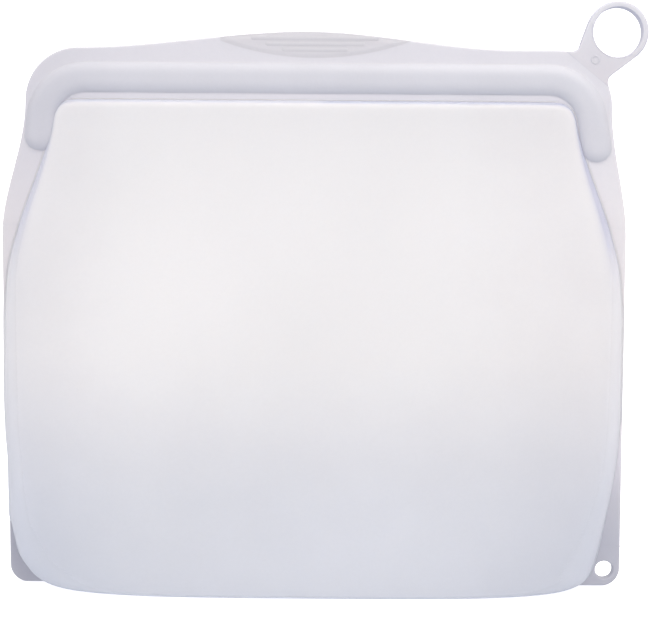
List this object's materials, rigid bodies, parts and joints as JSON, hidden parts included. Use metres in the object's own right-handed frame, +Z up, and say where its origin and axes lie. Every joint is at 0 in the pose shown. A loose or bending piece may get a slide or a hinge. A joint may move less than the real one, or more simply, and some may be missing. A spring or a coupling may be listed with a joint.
{
  "type": "reusable silicone bag",
  "caption": "Flat-based silicone food bag with a press-together seal, lips that fold open, a hanging ring on the front lip and a hanging tab at a lower corner.",
  "frame": {"origin": "middle of the flat base, on the surface that the bag stands on and in the seam plane", "axes": "+Z up towards the mouth, +X to the bag's right seen from the front, on the side of the ring and the tab, front facing -Y"},
  "size_m": [0.2304, 0.0442, 0.2111],
  "materials": {
    "frosted_wall": "frosted translucent silicone, satin",
    "bonded_edge": "frosted translucent silicone, bonded double thickness, satin",
    "lip": "frosted translucent silicone, satin",
    "press_seal": "thicker frosted silicone, smooth satin",
    "thumb_grip": "frosted silicone, ribbed",
    "ring": "thick frosted silicone, satin"
  },
  "bodies": {
    "pouch": {"front_panel": "frosted_wall", "back_panel": "frosted_wall", "bottom_seam": "bonded_edge", "left_side_seam": "bonded_edge", "right_side_seam": "bonded_edge", "hanging_tab": "bonded_edge"},
    "front_flap": {"front_throat": "frosted_wall", "front_lip": "lip", "seal_channel": "press_seal", "thumb_pad": "thumb_grip", "grip_ridge_top": "thumb_grip", "grip_ridge_middle": "thumb_grip", "grip_ridge_low": "thumb_grip"},
    "back_flap": {"back_throat": "frosted_wall", "back_lip": "lip", "seal_rib": "press_seal"},
    "ring_arm": {"hang_ring": "ring", "ring_neck": "ring"}
  },
  "joints": [
    {"name": "front_lip_fold", "type": "hinge", "parent": "pouch", "child": "front_flap", "pos_m": [0, -0.00893, 0.132], "axis": [1, 0, 0], "range_deg": [0, 80], "stiffness_Nm_per_rad": 0.04},
    {"name": "back_lip_fold", "type": "hinge", "parent": "pouch", "child": "back_flap", "pos_m": [0, 0.00893, 0.132], "axis": [-1, 0, 0], "range_deg": [0, 80], "stiffness_Nm_per_rad": 0.04},
    {"name": "ring_bend", "type": "hinge", "parent": "front_flap", "child": "ring_arm", "pos_m": [0.09744, -0.0009, 0.18776], "axis": [0.7777, 0, -0.6286], "range_deg": [-85, 85], "stiffness_Nm_per_rad": 0.005}
  ]
}
